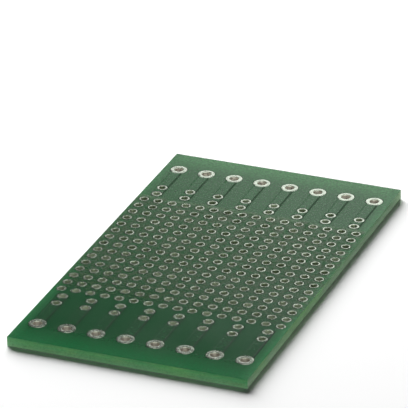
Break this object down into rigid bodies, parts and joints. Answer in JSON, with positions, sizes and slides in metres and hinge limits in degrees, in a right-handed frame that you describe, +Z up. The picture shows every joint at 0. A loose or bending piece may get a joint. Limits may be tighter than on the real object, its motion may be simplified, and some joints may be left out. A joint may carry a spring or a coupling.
{
  "type": "prototype board",
  "caption": "Green prototype circuit board with a grid of plated lead holes and a row of large terminal pads along each end, joined by short tracks.",
  "frame": {"origin": "under the board's centre, on the surface that the board lies on", "axes": "+Z up through the board, towards the face with the tracks; +Y along the length, towards the far row of terminals; +X to the right along the rows of lead holes"},
  "size_m": [0.041, 0.0728, 0.0018],
  "materials": {
    "laminate": "sawn glass-epoxy edge, slightly rough",
    "solder_mask": "semi-gloss green solder mask",
    "tinned_copper": "dull hot-tinned pads and plated holes"
  },
  "bodies": {
    "root": {"laminate": "laminate", "solder_mask_top": "solder_mask", "solder_mask_bottom": "solder_mask", "far_terminal_1": "tinned_copper", "far_terminal_2": "tinned_copper", "far_terminal_3": "tinned_copper", "far_terminal_4": "tinned_copper", "far_terminal_5": "tinned_copper", "far_terminal_6": "tinned_copper", "far_terminal_7": "tinned_copper", "far_terminal_8": "tinned_copper", "near_terminal_1": "tinned_copper", "near_terminal_2": "tinned_copper", "near_terminal_3": "tinned_copper", "near_terminal_4": "tinned_copper", "near_terminal_5": "tinned_copper", "near_terminal_6": "tinned_copper", "near_terminal_7": "tinned_copper", "near_terminal_8": "tinned_copper", "pad_row_1": "tinned_copper", "pad_row_2": "tinned_copper", "pad_row_3": "tinned_copper", "pad_row_4": "tinned_copper", "pad_row_5": "tinned_copper", "pad_row_6": "tinned_copper", "pad_row_7": "tinned_copper", "pad_row_8": "tinned_copper", "pad_row_9": "tinned_copper", "pad_row_10": "tinned_copper", "pad_row_11": "tinned_copper", "pad_row_12": "tinned_copper", "pad_row_13": "tinned_copper", "pad_row_14": "tinned_copper", "pad_row_15": "tinned_copper"}
  },
  "joints": []
}
